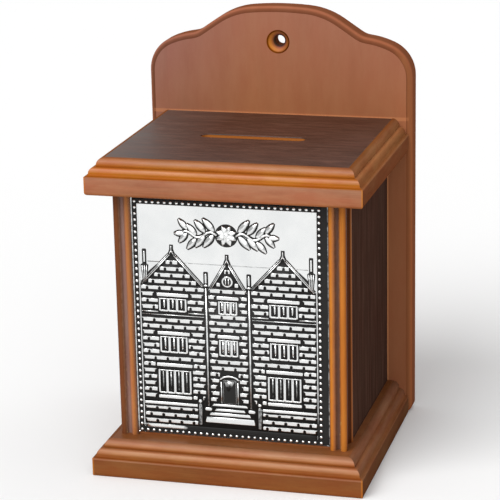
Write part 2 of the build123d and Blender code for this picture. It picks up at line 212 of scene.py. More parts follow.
def by_level(stain, low, high, axis, strength, edge_noise=0.0):
    """Colour by place along one axis from low to high, over the grain's own lights and darks."""
    def tint(s, colour):
        place = s.span(s.axes()[axis], low, high)
        if edge_noise:
            ragged = s.noise(s.place(), 420.0, 3.0, 0.6)
            place = s.math("ADD", place, s.span(ragged, 0.3, 0.7, -edge_noise, edge_noise))
        return s.mix(strength, colour, s.mix(1.0, s.grain_light, s.ramp(place, stain), "MULTIPLY"))
    return tint


OAK = ((0.2, 0.062, 0.018), (0.3, 0.103, 0.036), (0.37, 0.142, 0.058))
BASE_OAK = ((0.13, 0.04, 0.009), (0.19, 0.062, 0.016), (0.25, 0.088, 0.03))
BOARD = ((0.28, 0.095, 0.035), (0.32, 0.112, 0.044), (0.345, 0.125, 0.052))
WALNUT = ((0.02, 0.008, 0.006), (0.066, 0.027, 0.018), (0.14, 0.06, 0.04))
DARK = ((0.030, 0.014, 0.010), (0.060, 0.029, 0.021), (0.098, 0.050, 0.036))
BARE = ((0.42, 0.27, 0.14), (0.56, 0.39, 0.23), (0.66, 0.49, 0.31))


def dress(node, material):
    mesh = nodes[node].data
    mesh.materials.clear()
    mesh.materials.append(material)


def corner_highlight(levels, reach):
    """Painted orange highlight along the upright corners at the two ends of a front length."""
    def tint(s, colour):
        across = s.math("ABSOLUTE", s.axes()[0])
        # Painted highlight up each corner.
        corner = s.span(across, reach - 0.0008, reach - 0.0003, 0.0, 0.75)
        return s.mix(corner, levels(s, colour), (0.42, 0.14, 0.02, 1))
    return tint


def dress_moulding(prefix, tones, front_stain_and_light, side_stain_and_shade):
    for place, axis in (("front", 0), ("left", 1), ("right", 1)):
        node = prefix + "_moulding_" + place
        low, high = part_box(node)
        shift = 0.3 * len(place) + (0.1 if prefix == "lid" else 0)
        # The front takes stain with painted highlights and a painted highlight up its corners; the sides take
        # darker tones, painted shade.
        if place == "front":
            tint = corner_highlight(by_level(front_stain_and_light, high.z, low.z, 2, 0.92), high.x)
        else:
            tint = by_level(side_stain_and_shade, high.z, low.z, 2, 0.92)
        dress(node, wood(node + "_wood", tones, axis, (shift, shift, shift),
                         gloss=0.07 if place == "front" else 0.0, pores=0.4, tint=tint, contrast=1.2,
                         patchy=1.0))


def lid_tint(s, colour):
    """Dark stain on the top only: the slot's wall stays bright, a lighter line runs along the back edge,
    and a painted sheen makes the top paler and greyer toward its left end.
    """
    low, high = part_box("lid_panel")
    x, y, z = s.axes()
    # Painted sheen: paler and greyer toward the top's left end.
    painted_sheen = s.span(x, low.x * 0.35, low.x, 0.0, 0.17)
    colour = s.mix(painted_sheen, colour, (0.33, 0.29, 0.28, 1))
    bright = s.span(z, high.z - 0.0007, high.z - 0.0003, 1, 0)
    edge = s.span(y, high.y - 0.0009, high.y - 0.0005)
    colour = s.mix(bright, colour, (0.40, 0.125, 0.02, 1))
    return s.mix(edge, colour, (0.5, 0.22, 0.11, 1))


# The hanging hole: its height, how far out its own colours reach, those colours from the middle outward,
# with painted shade in the bore, and the painted light and shade that make them brighter on the left
# and darker on the right.
HOLE_HEIGHT = 0.1745
HOLE_REACH = 0.0056
# The dark middle of HOLE is painted shade in the bore.
HOLE = [(0.0, (0.06, 0.03, 0.018)), (0.48, (0.07, 0.035, 0.02)), (0.56, (0.30, 0.10, 0.04)),
        (0.68, (0.48, 0.18, 0.045)), (0.80, (0.46, 0.165, 0.035)), (0.88, (0.13, 0.032, 0.002)),
        (1.0, (0.13, 0.032, 0.002))]
HOLE_PAINTED_LIGHT = [(0.0, (1.3, 1.35, 1.0)), (0.5, (0.95, 0.95, 1.6)), (1.0, (0.5, 0.42, 0.4))]


def hole_tint(s, colour, front):
    """Bright bare cone in the countersink, a dark line round its rim, painted shade in the bore, and
    painted light on the cone's left and painted shade on its right.
    """
    centred = s.stretched((1, 0, 1), (0, 0, -HOLE_HEIGHT))
    away = s.node("VectorMath", {"Vector": centred}, operation="LENGTH").outputs["Value"]
    x, y, _ = s.axes()
    # Painted light on the left of the cone and painted shade on its right.
    sides = s.ramp(s.span(x, -0.004, 0.004), HOLE_PAINTED_LIGHT)
    cone = s.mix(1.0, s.ramp(s.span(away, 0.0, HOLE_REACH), HOLE), sides, "MULTIPLY")
    inside = s.math("MULTIPLY", s.span(away, HOLE_REACH - 0.0001, HOLE_REACH - 0.0003),
                    s.span(y, front + 0.005, front + 0.0045))
    return s.mix(inside, colour, cone)


# The board's stain from its face back, and how its face shades across and towards the crest.
BOARD_DEPTH = [
    (0.0, (0.32, 0.125, 0.056)), (0.02, (0.32, 0.125, 0.056)), (0.03, (0.10, 0.028, 0.008)),
    (0.055, (0.15, 0.045, 0.014)), (0.11, (0.32, 0.10, 0.035)), (0.2, (0.30, 0.095, 0.034)),
    (0.27, (0.19, 0.062, 0.03)), (0.6, (0.16, 0.052, 0.028)), (1.0, (0.19, 0.062, 0.03)),
]
BOARD_ACROSS = [(0.0, (0.80, 0.91, 1.36)), (0.4, (1.0, 1.0, 1.03)), (1.0, (0.93, 0.91, 0.98))]
BOARD_CREST = [(0.0, grey(1.0)), (1.0, (1.0, 1.07, 1.5))]


def board_seams(s, front):
    """How bright the lines are where the lid and the side panels meet the board's face."""
    lid_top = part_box("lid_panel")[1].z
    low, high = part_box("side_panel_right")
    x, y, z = s.axes()
    over_lid = s.math("MULTIPLY", s.band(z, lid_top - 0.001, lid_top + 0.0004), 0.45)
    by_panel = s.math("MULTIPLY", s.band(s.math("ABSOLUTE", x), high.x - 0.001, high.x + 0.0005),
                      s.band(z, low.z, high.z))
    on_face = s.span(y, front + 0.0006, front + 0.0003, 0.0, 0.8)
    return s.math("MULTIPLY", s.math("MAXIMUM", over_lid, by_panel), on_face)


def board_tint(s, colour):
    """Darker stain in the step and on the outer edge, painted shade on the step's right end, and bright seam
    lines.
    """
    low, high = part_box("back_board")
    x, y, z = s.axes()
    colour = by_level(BOARD_DEPTH, low.y, high.y, 1, 0.75)(s, colour)
    across = s.ramp(s.span(x, low.x, high.x), BOARD_ACROSS)
    crest = s.ramp(s.span(z, HOLE_HEIGHT - 0.03, high.z), BOARD_CREST)
    shaded = s.mix(1.0, s.mix(1.0, colour, across, "MULTIPLY"), crest, "MULTIPLY")
    colour = s.mix(s.span(y, low.y + 0.0028, low.y + 0.0018), colour, shaded)
    # Painted shade on the step at the board's right end.
    step = s.math("MULTIPLY", s.band(y, low.y + 0.0002, low.y + 0.0011),
                  s.span(x, high.x - 0.009, high.x - 0.004, 0.0, 0.75))
    colour = s.mix(step, colour, (0.26, 0.095, 0.04, 1))
    colour = s.mix(board_seams(s, low.y), colour, (0.55, 0.23, 0.10, 1))
    return hole_tint(s, colour, low.y)


# Post colours across its front, from the inner face out: stain with dark paint in the groove, the left and
# right tables differing as lit and shaded copies, painted light and shade. Along its side, from the front
# back: painted shade that darkens the side faces, lighter along the bead lines.
POST_RIGHT_STAIN_AND_LIGHT = [
    (0.0, (0.11, 0.03, 0.01)), (0.05, (0.36, 0.12, 0.02)), (0.14, (0.50, 0.165, 0.014)),
    (0.26, (0.40, 0.14, 0.04)), (0.34, (0.26, 0.11, 0.055)), (0.40, (0.13, 0.07, 0.05)),
    (0.48, (0.085, 0.048, 0.042)), (0.55, (0.13, 0.065, 0.045)), (0.61, (0.36, 0.13, 0.03)),
    (0.66, (0.42, 0.14, 0.022)), (0.85, (0.44, 0.145, 0.018)), (1.0, (0.34, 0.11, 0.02)),
]
POST_LEFT_STAIN_AND_LIGHT = [
    (0.0, (0.24, 0.12, 0.08)), (0.05, (0.28, 0.105, 0.045)), (0.14, (0.37, 0.135, 0.036)),
    (0.26, (0.35, 0.130, 0.055)), (0.35, (0.30, 0.12, 0.07)), (0.40, (0.26, 0.15, 0.12)),
    (0.48, (0.27, 0.165, 0.15)), (0.57, (0.26, 0.16, 0.145)), (0.63, (0.22, 0.12, 0.08)),
    (0.70, (0.13, 0.045, 0.018)), (0.85, (0.12, 0.034, 0.011)), (1.0, (0.10, 0.03, 0.012)),
]
POST_SIDE_PAINTED_SHADE = [
    (0.0, (1.0, 1.0, 1.0)), (0.04, (0.95, 0.9, 0.8)), (0.09, (0.34, 0.2, 0.05)), (0.36, (0.22, 0.1, 0.02)),
    (0.45, (0.5, 0.5, 0.6)), (0.61, (0.75, 0.8, 1.1)), (0.66, (0.2, 0.15, 0.12)), (0.76, (0.16, 0.11, 0.08)),
    (0.80, (0.85, 0.8, 0.75)), (0.88, (0.8, 0.75, 0.7)), (0.96, (0.3, 0.22, 0.2)),
]


def post_tint(side):
    def tint(s, colour):
        low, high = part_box("corner_post_" + side)
        inner, outer = (low.x, high.x) if side == "right" else (high.x, low.x)
        x, y, z = s.axes()
        share = s.span(x, inner, outer)
        # Each post's table is stain with painted light and shade; the two posts are lit and shaded copies.
        stain = POST_RIGHT_STAIN_AND_LIGHT if side == "right" else POST_LEFT_STAIN_AND_LIGHT
        colour = by_level(stain, inner, outer, 0, 0.88, 0.02)(s, colour)
        outside = s.span(share, 0.62, 0.68)
        # Painted shade darkens the side faces, lighter along the bead lines.
        back = s.ramp(s.span(y, low.y, high.y), POST_SIDE_PAINTED_SHADE)
        colour = s.mix(outside, colour, s.mix(1.0, colour, back, "MULTIPLY"))
        worn = s.noise(s.stretched((1, 1, 0.35)), 900.0, 4.0, 0.7)
        groove = s.band(share, 0.56, 0.64, 0.05)
        chips = s.math("MULTIPLY", groove, s.span(worn, 0.6, 0.64))
        low_down = s.span(z, low.z + 0.05, low.z + 0.005)
        return s.mix(s.math("MULTIPLY", chips, low_down), colour, (0.62, 0.42, 0.16, 1))
    return tint


dress_moulding("lid", OAK, LID_STAIN_AND_HIGHLIGHTS, LID_SIDE_STAIN_AND_SHADE)
dress_moulding("base", BASE_OAK, BASE_STAIN_AND_HIGHLIGHTS, BASE_SIDE_STAIN_AND_SHADE)
dress("lid_panel", wood("lid_top_wood", WALNUT, 0, (0.7, 0, 0), figure=0.6, roughness=(0.36, 0.5), gloss=0.36,
                        pores=0.5, tint=lid_tint, stretch=16.0, streaks=420.0, cloudy=0.12))
dress("back_board", wood("board_wood", BOARD, 2, (0.2, 0.4, 0), figure=0.7, gloss=0.0, pores=0.15,
                         tint=board_tint, stretch=14.0, cloudy=0.0, contrast=0.16, patchy=0.35))
for side in ("left", "right"):
    shift = (0.5, 0.1, 0.3) if side == "left" else (0.1, 0.6, 0.2)
    dress("corner_post_" + side, wood("post_wood_" + side, OAK, 2, shift, tint=post_tint(side)))
    dress("side_panel_" + side, wood("side_wood_" + side, DARK, 2, shift, figure=0.65, roughness=(0.5, 0.62),
                                     gloss=0.0, pores=0.3, stretch=75.0, streaks=700.0, cloudy=0.15))
    dress("rear_cleat_" + side, wood("cleat_wood_" + side, BARE, 2, shift, roughness=(0.55, 0.7)))
dress("front_panel", wood("front_wood", OAK, 2, (0.9, 0, 0)))
dress("bottom_panel", wood("bottom_wood", BASE_OAK, 0, (0, 0.8, 0), gloss=0.3))
dress("trap_door", wood("door_wood", OAK, 0, (0, 0.3, 0.5)))
dress("door_stop_strip", wood("strip_wood", BARE, 0, (0.4, 0.3, 0.5), roughness=(0.55, 0.7)))


# ---- metal fittings --------------------------------------------------------------------------

def metal(name, colour, roughness, metallic=1.0, brushed=0):
    s = Shader(name)
    scratch = s.noise(s.stretched(grain_scale(brushed, 30.0)), 5200.0, 3.0, 0.6)
    smudge = s.noise(s.place(), 190.0, 3.0)
    worn = tuple(part * 0.62 for part in colour)
    s.surface(Base_Color=s.ramp(smudge, [(0.3, worn), (0.6, colour)]), Metallic=metallic,
              Roughness=s.span(smudge, 0.3, 0.7, roughness + 0.12, roughness - 0.04))
    s.bump(scratch, 0.2, 0.00002)
    return s.material


brass = metal("brass_metal", (0.74, 0.51, 0.2), 0.28)
steel = metal("steel_metal", (0.55, 0.55, 0.56), 0.32, brushed=2)
ferrite = metal("magnet_ferrite", (0.1, 0.1, 0.11), 0.5, metallic=0.4)
for side in ("left", "right"):
    for part in ("hinge_fixed_leaf_", "hinge_door_leaf_"):
        dress(part + side, brass)
    dress("hinge_pin_" + side, steel)
for part in ("back_screws", "hinge_screws_panel", "hinge_screws_door", "catch_plate"):
    dress(part, steel)
dress("door_knob", brass)
dress("catch_magnet", ferrite)


# ---- the plaque's relief ---------------------------------------------------------------------
# Plaque sizes are in millimetres: x to the right, z up, and height out of the sheet's face.

random.seed(7)
plaque_low, plaque_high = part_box("plaque")
LEFT, RIGHT = plaque_low.x / MM, plaque_high.x / MM
BOTTOM, TOP = plaque_low.z / MM, plaque_high.z / MM
SHEET_BACK = plaque_high.y / MM
SHEET = 0.6         # thickness of the metal
SUNK = 0.15         # how far a raised shape goes below its ground, so that no gap shows
PEARL = 0.75        # radius of a pearl
PEARLS_ACROSS, PEARLS_UP = 30, 38
PEARL_LEFT, PEARL_RIGHT = LEFT + 1.7, RIGHT - 3.9
PEARL_BOTTOM, PEARL_TOP = BOTTOM + 1.2, TOP - 2.0
CENTRE = (PEARL_LEFT + PEARL_RIGHT) / 2


class Relief:
    """One mesh of closed raised shapes, with the black patina as a value on each vertex."""

    def __init__(self):
        self.points = []
        self.faces = []
        self.patina = []

    def ring(self, outline, height, patina):
        """Points at one height; patina is a number, or a function of x and z."""
        first = len(self.points)
        for x, z in outline:
            self.points.append((x * MM, (SHEET_BACK - SHEET - height) * MM, z * MM))
            self.patina.append(patina(x, z) if callable(patina) else patina)
        return list(range(first, first + len(outline)))

    def join(self, first, second):
        count = len(first)
        for i in range(count):
            j = (i + 1) % count
            self.faces.append((first[i], first[j], second[j], second[i]))

    def solid(self, rings):
        """Closed solid from (outline, height, patina) rings of equal length, bottom ring first."""
        made = [self.ring(*ring) for ring in rings]
        for first, second in zip(made, made[1:]):
            self.join(first, second)
        self.faces.append(tuple(reversed(made[0])))
        self.faces.append(tuple(made[-1]))

    def build(self, name, material, smooth=True):
        mesh = bpy.data.meshes.new(name)
        mesh.from_pydata(self.points, [], self.faces)
        layer = mesh.attributes.new("patina", "FLOAT", "POINT")
        layer.data.foreach_set("value", self.patina)
        mesh.polygons.foreach_set("use_smooth", [smooth] * len(mesh.polygons))
        mesh.materials.append(material)
        mesh.validate()
        made = bpy.data.objects.new(name, mesh)
        bpy.context.scene.collection.objects.link(made)
        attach(made, "box")
        return made


def rectangle(x0, x1, z0, z1):
    return [(x0, z0), (x1, z0), (x1, z1), (x0, z1)]


def rounded(x0, x1, z0, z1, radius, steps=2):
    """Rectangle with rounded corners, anticlockwise from the lower left."""
    radius = min(radius, (x1 - x0) / 2, (z1 - z0) / 2)
    corners = [(x0 + radius, z0 + radius, 180), (x1 - radius, z0 + radius, 270),
               (x1 - radius, z1 - radius, 0), (x0 + radius, z1 - radius, 90)]
    outline = []
    for x, z, start in corners:
        for i in range(steps + 1):
            angle = math.radians(start + 90 * i / steps)
            outline.append((x + radius * math.cos(angle), z + radius * math.sin(angle)))
    return outline


def inset(outline, distance):
    """The outline moved inward by a distance, mitred at its corners."""
    moved = []
    count = len(outline)
    for i in range(count):
        before, here, after = outline[i - 1], outline[i], outline[(i + 1) % count]
        one = Vector((here[0] - before[0], here[1] - before[1])).normalized()
        two = Vector((after[0] - here[0], after[1] - here[1])).normalized()
        normals = Vector((-one.y, one.x)), Vector((-two.y, two.x))
        total = normals[0] + normals[1]
        scale = distance / max(0.35, 1 + normals[0].dot(normals[1]))
        moved.append((here[0] + total.x * scale, here[1] + total.y * scale))
    return moved


def circle(x, z, radius, count):
    return [(x + radius * math.cos(2 * math.pi * i / count),
             z + radius * math.sin(2 * math.pi * i / count)) for i in range(count)]


def pad(relief, outline, height):
    """Thin blackened ground under a raised part."""
    relief.solid([(outline, -0.2, 1.0), (outline, height, 1.0)])


def cushion(relief, outline, height, ground, edge, top_patina=0.0):
    """Raised shape with an edge rounded over that width, blackened round its foot."""
    steps = [(0.0, ground - SUNK, 1.0), (0.0, ground + height * 0.25, 0.9),
             (edge * 0.22, ground + height * 0.62, 0.25), (edge * 0.6, ground + height * 0.9, top_patina),
             (edge, ground + height, top_patina)]
    relief.solid([(inset(outline, amount), level, patina) for amount, level, patina in steps])


def bar(relief, x0, x1, z0, z1, height, corner, edge=None, ground=0.05, top_patina=0.0):
    """Cushion over a rectangle with that corner radius; its edge is by default as wide as suits it."""
    edge = edge or min(0.35, min(x1 - x0, z1 - z0) * 0.4)
    cushion(relief, rounded(x0, x1, z0, z1, corner, 1), height, ground, edge, top_patina)


# Sections of a raised line as (across, level, patina): half widths from its middle, shares of its height.
ROUND_SECTION = [(-1, 0.2, 0.8), (-0.7, 0.7, 0.1), (-0.3, 0.96, 0),
                 (0.3, 0.96, 0), (0.7, 0.7, 0.1), (1, 0.2, 0.8)]
ROOF_SECTION = [(-1, 0.08, 0.8), (-0.86, 0.2, 0.1), (-0.07, 0.97, 0),
                (0.07, 0.97, 0), (0.86, 0.2, 0.1), (1, 0.08, 0.8)]


def ridge(relief, path, widths, height, ground=0.05, roof=False, foot=1.0, crest=0.0, lower_shade=0.0):
    """Raised line along a path, round or with a sharp crest.

    widths, and crest, which is patina added all over, are one number or one a point; foot scales the
    section's own patina, and lee, painted shade, darkens the lower slope.
    """
    count = len(path)
    widths = widths if isinstance(widths, list) else [widths] * count
    crest = crest if isinstance(crest, list) else [crest] * count
    profile = ROOF_SECTION if roof else ROUND_SECTION
    section = [(-1, -1, 1.0)] + profile + [(1, -1, 1.0)]
    rings = []
    for i, (x, z) in enumerate(path):
        before, after = path[max(i - 1, 0)], path[min(i + 1, count - 1)]
        along = Vector((after[0] - before[0], after[1] - before[1])).normalized()
        rise = height * min(1.0, widths[i] / max(widths) + 0.15)
        ring = []
        for across, level, patina in section:
            reach = across * widths[i] / 2
            where = (x - along.y * reach, z + along.x * reach)
            dark = patina * foot + crest[i]
            # Painted shade on the lower slope.
            if across * along.x < 0:
                dark += lower_shade * abs(across)
            ring += relief.ring([where], ground + rise * level if level > 0 else ground - SUNK, dark)
        rings.append(ring)
    for first, second in zip(rings, rings[1:]):
        relief.join(second, first)
    relief.faces.append(tuple(rings[0]))
    relief.faces.append(tuple(reversed(rings[-1])))


# the sheet: cut edge, dull flange, blackened trough for the pearls, a bead, then the polished field

TROUGH = 0.95       # half its width
FOOT_LEFT, FOOT_RIGHT = BOTTOM + 4.0, BOTTOM + 15.0     # where the bead turns black


def bead_tone(x, z):
    """The bead is bright up the left, dull up the right and black at the foot."""
    if z < (FOOT_RIGHT if x > 0 else FOOT_LEFT):
        return 0.9
    if z > WALL_TOP:
        return 0.0
    return 0.42 if x > 0 else 0.3


def rim_light_and_shade(x, z):
    """The cut edge is painted lighter up the left and duller elsewhere: painted light and shade."""
    return 0.4 if x < 0 else 0.56


def shrunk(limits, amount):
    """Outline of a rectangle moved inward, with a point in each side where the bead turns black."""
    x0, x1, z0, z1 = limits[0] + amount, limits[1] - amount, limits[2] + amount, limits[3] - amount
    return [(x0, z0), (x1, z0), (x1, FOOT_RIGHT), (x1, z1), (x0, z1), (x0, FOOT_LEFT)]


def plaque_sheet(material):
    relief = Relief()
    outer = (LEFT, RIGHT, BOTTOM, TOP)
    trough = (PEARL_LEFT - TROUGH, PEARL_RIGHT + TROUGH, PEARL_BOTTOM - TROUGH, PEARL_TOP + TROUGH)
    field = (PEARL_LEFT + TROUGH, PEARL_RIGHT - TROUGH, PEARL_BOTTOM + TROUGH, PEARL_TOP - TROUGH)
    # The cut edge's rings take painted light and shade, lighter on the left than on the right.
    rings = [
        (outer, 0.0, -SHEET, 1.0), (outer, 0.0, -0.3, 0.6), (outer, 0.04, 0.1, 0.3),
        (outer, 0.1, 0.12, rim_light_and_shade), (outer, 0.5, -0.1, rim_light_and_shade), (outer, 0.62, -0.1, 0.74),
        (trough, -0.1, 0.2, 0.76), (trough, 0.0, 0.22, 0.8), (trough, 0.14, 0.0, 1.0),
        (field, -0.1, 0.0, 1.0), (field, 0.0, 0.12, 0.9), (field, 0.12, 0.26, bead_tone),
        (field, 0.5, 0.26, bead_tone), (field, 0.62, 0.0, 0.0),
    ]
    relief.solid([(shrunk(limits, amount), level, patina) for limits, amount, level, patina in rings])
    made = relief.build("plaque_sheet", material, smooth=False)
    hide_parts("plaque")


def pearl_border(material):
    """Domed pearls of slightly uneven size, along the foot and top first, then up the sides."""
    relief = Relief()
    step_x = (PEARL_RIGHT - PEARL_LEFT) / PEARLS_ACROSS
    step_z = (PEARL_TOP - PEARL_BOTTOM) / PEARLS_UP
    across = [PEARL_LEFT + step_x * i for i in range(PEARLS_ACROSS + 1)]
    up = [PEARL_BOTTOM + step_z * i for i in range(1, PEARLS_UP)]
    spots = [(x, z) for x in across for z in (PEARL_BOTTOM, PEARL_TOP)]
    spots += [(x, z) for z in up for x in (PEARL_LEFT, PEARL_RIGHT)]
    for x, z in spots:
        radius = PEARL * random.uniform(0.95, 1.05)
        rings = [(circle(x, z, radius, 14), -SUNK, 1.0)]
        for angle, patina in ((0, 1.0), (22, 0.5), (40, 0.05), (60, 0.0), (80, 0.0)):
            turn = math.radians(angle)
            rings.append((circle(x, z, radius * math.cos(turn), 14), 0.06 + 0.62 * math.sin(turn), patina))
        relief.solid(rings)
    relief.build("plaque_pearls", material)


# ---- the house: a plain brick house with two large gables and a small one, not any real building

COURSE = 2.9        # height of a brick course, bed included
BRICK = 5.5         # length of a brick, joint included
BED = 0.6
THIN_COURSE, THINNER = 2, 0.45      # this course's bricks are lower, by this much
WALL_FOOT = 21.2
WALL_TOP = 85.3
WALL = (PEARL_RIGHT - PEARL_LEFT) / 2 - 1.7     # half the house's width
BAY = 24.5          # from the middle to the middle of an outer bay
BAYS = (CENTRE - BAY, CENTRE + BAY)
GABLE_HALF, GABLE_RISE = 13.6, 14.6
MID_HALF, MID_FOOT, MID_RISE = 8.2, 83.4, 13.4
PIPE = 9.5          # from the middle to a rain pipe
PIER = 13.3         # from the middle to a pier beside the steps

# Each gable's middle, half width, foot and rise.
GABLES = [(middle, GABLE_HALF, WALL_TOP, GABLE_RISE) for middle in BAYS]
GABLES.append((CENTRE, MID_HALF, MID_FOOT, MID_RISE))

# Foot and head of each storey's windows, and the course of the lintels over them.
UPPER, MIDDLE, GROUND = (73.1, 79.0), (54.3, 61.7), (35.6, 46.4)
UPPER_LINTEL, MIDDLE_LINTEL, GROUND_LINTEL = 20, 14, 9
ROUND_COURSE = 23

# Where windows, lintels and the door stop the bricks: half width, first course, course above.
BAY_OPENINGS = [(6.5, 17, 20), (7.4, 20, 21), (6.5, 11, 14), (7.6, 14, 15), (8.0, 4, 9), (8.5, 9, 10)]
MID_OPENINGS = [(4.5, 4, 8), (4.0, 8, 9), (4.6, 11, 14), (5.3, 14, 15), (4.6, 18, 20), (5.3, 20, 21),
                (3.1, 22, 24)]
BAND_COURSES = (17, 3)      # where the outer bays' sill lines and plinths run


def course_at(number):
    return WALL_FOOT + COURSE * number


def openings():
    """Rectangles without bricks, as x0, x1, z0, z1."""
    def about(middle, half, low, high):
        return (middle - half, middle + half, course_at(low), course_at(high))

    blocked = [about(middle, *row) for middle in BAYS for row in BAY_OPENINGS]
    for side in (-1, 1):
        pipe, pier = CENTRE + side * PIPE, CENTRE + side * PIER
        x0, x1 = sorted((pipe, CENTRE + side * WALL))
        blocked += [(x0, x1, course_at(number), course_at(number + 1)) for number in BAND_COURSES]
        blocked.append((pipe - 0.9, pipe + 0.9, course_at(3), MID_FOOT))
        blocked.append((pier - 1.1, pier + 1.1, WALL_FOOT, course_at(5)))
    blocked.append((CENTRE - PIER, CENTRE + PIER, 0.0, course_at(4)))
    return blocked + [about(CENTRE, *row) for row in MID_OPENINGS]


def without(spans, x0, x1, shortest=0.7):
    """The spans with x0 to x1 taken out, leaving out what is too short for a brick."""
    left = []
    for start, end in spans:
        if x1 <= start or x0 >= end:
            left.append((start, end))
        else:
            left += [(a, b) for a, b in ((start, x0), (x1, end)) if b - a > shortest]
    return left


def free_spans(low, high):
    """Stretches of wall at one course, clear of every opening."""
    if high <= WALL_TOP + 0.4:
        spans = [(CENTRE - WALL, CENTRE + WALL)]
    else:
        spans = []
        for middle, half, foot, rise in GABLES:
            reach = half * (1 - (high - foot) / rise) - 0.9
            if reach > 0.5 and low > foot - COURSE:
                spans.append((middle - reach, middle + reach))
    for x0, x1, z0, z1 in openings():
        if z1 > low + 0.3 and z0 < high - 0.3:
            spans = without(spans, x0, x1)
    return spans


def brick(relief, x0, x1, z0, z1, notches, height):
    """Raised brick; at a joint its foot is cut back and its top runs into the next one."""
    foot = [0.5 if notch else 0.1 for notch in notches]
    lap = [0.3 if notch else -0.1 for notch in notches]
    waist = z0 + 0.62 * (z1 - z0)
    outline = [(x0 + foot[0], z0), (x1 - foot[1], z0), (x1 - foot[1] * 0.9, waist),
               (x1 + lap[1], z1), (x0 - lap[0], z1), (x0 + foot[0] * 0.9, waist)]
    cushion(relief, outline, height, 0.05, 0.3)


def brickwork(relief):
    """Courses of bricks, every other one shifted by half a brick, each brick a little out of true."""
    courses = int((WALL_TOP + GABLE_RISE - 2.0 - WALL_FOOT) / COURSE)
    for course in range(courses):
        low, high = course_at(course) + BED, course_at(course + 1) - BED
        if course == THIN_COURSE:
            low += THINNER
        shift = BRICK / 2 if course % 2 else 0.0
        for start, end in free_spans(low, high):
            mark = math.floor((start - CENTRE - shift) / BRICK) * BRICK + CENTRE + shift
            while mark < end:
                x0, x1 = max(start, mark), min(end, mark + BRICK)
                if x1 - x0 > 1.1:
                    jitter = [random.uniform(-0.07, 0.07) for _ in range(4)]
                    brick(relief, x0 + jitter[0], x1 + jitter[1], low + jitter[2], high + jitter[3],
                          (x0 > start, x1 < end), 0.42 + random.uniform(-0.04, 0.05))
                mark += BRICK


def window(relief, middle, half, z0, z1, lights=3, glazing=(0.3, 0.12)):
    """Raised frame round blackened panes, with a glazing bar in each, as dull as glazing says."""
    pitch = 2 * half / lights
    for i in range(lights + 1):
        x = middle - half + pitch * i
        wide = 0.42 if i in (0, lights) else 0.58
        bar(relief, x - wide, x + wide, z0 + 0.1, z1, 0.44, 0.2, 0.16)
    for i in range(lights):
        x = middle - half + pitch * (i + 0.5)
        bar(relief, x - pitch / 2, x + pitch / 2, z0 - 0.15, z0 + 0.65, 0.4, 0.3, 0.16)
        bar(relief, x - pitch / 2, x + pitch / 2, z1 - 0.55, z1 - 0.05, 0.36, 0.1, 0.16)
        ridge(relief, [(x, z0 + 1.7), (x, z1 - 0.8)], 0.8, 0.24, crest=list(glazing))


def lintel(relief, middle, half, course):
    low = course_at(course)
    bar(relief, middle - half, middle + half, low + 0.5, low + COURSE - 0.75, 0.5, 0.2, 0.3)


def house_ground(relief):
    """Blackened ground of the whole house, gables included."""
    edge = WALL + 0.3
    pad(relief, rectangle(CENTRE - edge, CENTRE + edge, WALL_FOOT - 0.3, WALL_TOP), 0.05)
    for middle, half, foot, rise in GABLES:
        start = max(foot, WALL_TOP)
        reach = half * (1 - (start - foot) / rise)
        triangle = [(middle - reach, start - 0.01), (middle + reach, start - 0.01), (middle, foot + rise)]
        pad(relief, triangle, 0.05)


def gable_edges(relief, middle, half, foot, rise):
    """Two bright lines up each slope, over a wider blackened one."""
    apex = (middle, foot + rise)
    for side in (-1, 1):
        base = (middle + side * half, foot)
        slope = Vector((apex[0] - base[0], apex[1] - base[1])).normalized()
        normal = Vector((-slope.y, slope.x)) * side
        end = (apex[0] - slope.x * 1.7, apex[1] - slope.y * 1.7)
        ridge(relief, [base, end], 1.7, 0.04, 0.0, crest=1.0)
        for offset, wide in ((0.3, 0.38), (-0.32, 0.56)):
            shift = normal * offset
            line = [(x - shift.x, z - shift.y) for x, z in (base, end)]
            ridge(relief, line, wide, 0.4 + 0.1 * wide)


def finial(relief, middle, top):
    """Post on a gable's tip, with its two feet, on blackened ground."""
    crown = [(middle - 1.9, top - 1.7), (middle + 1.9, top - 1.7), (middle + 0.85, top + 1.1),
             (middle + 0.8, top + 3.1), (middle - 0.8, top + 3.1), (middle - 0.85, top + 1.1)]
    pad(relief, crown, 0.16)
    post = [(middle, top - 0.3), (middle, top + 1.0), (middle, top + 2.7)]
    ridge(relief, post, [0.9, 0.75, 0.6], 0.5, 0.1, crest=[0.1, 0.45, 0.4])
    for side in (-1, 1):
        feet = [(middle + side * 1.0, top - 1.2), (middle + side * 0.25, top + 0.2)]
        ridge(relief, feet, 0.4, 0.4, 0.1)


def chimney(relief, side):
    """Chimney at the wall's end, on a flared dark skirt with three ribs."""
    x = CENTRE + side * (WALL - 1.9)
    pad(relief, rounded(x - 0.95, x + 0.95, 92.0, 100.6, 0.4), 0.07)
    bar(relief, x - 0.42, x + 0.42, 94.6, 99.6, 0.4, 0.2, ground=0.08, top_patina=0.25)
    skirt = [(x - 0.9, WALL_TOP), (x + 0.9, WALL_TOP), (x + 1.75, 93.4), (x, 94.8), (x - 1.75, 93.4)]
    pad(relief, skirt, 0.09)
    for offset in (-1.0, 0.0, 1.0):
        rib = [(x + offset * 0.5, WALL_TOP + 0.6), (x + offset, 93.2)]
        ridge(relief, rib, 0.5, 0.35, 0.08, crest=[0.2, 0.0 if offset else 0.3])


def outer_roof(relief, side):
    """Blackened slope outside a large gable's lower half."""
    base, apex = CENTRE + side * (BAY + GABLE_HALF), CENTRE + side * BAY
    roof = [(base + (apex - base) * share, WALL_TOP + GABLE_RISE * share + 0.9)
            for share in (0.06, 0.3, 0.5)]
    ridge(relief, roof, [1.3, 1.5, 0.8], 0.2, 0.0, crest=1.0)


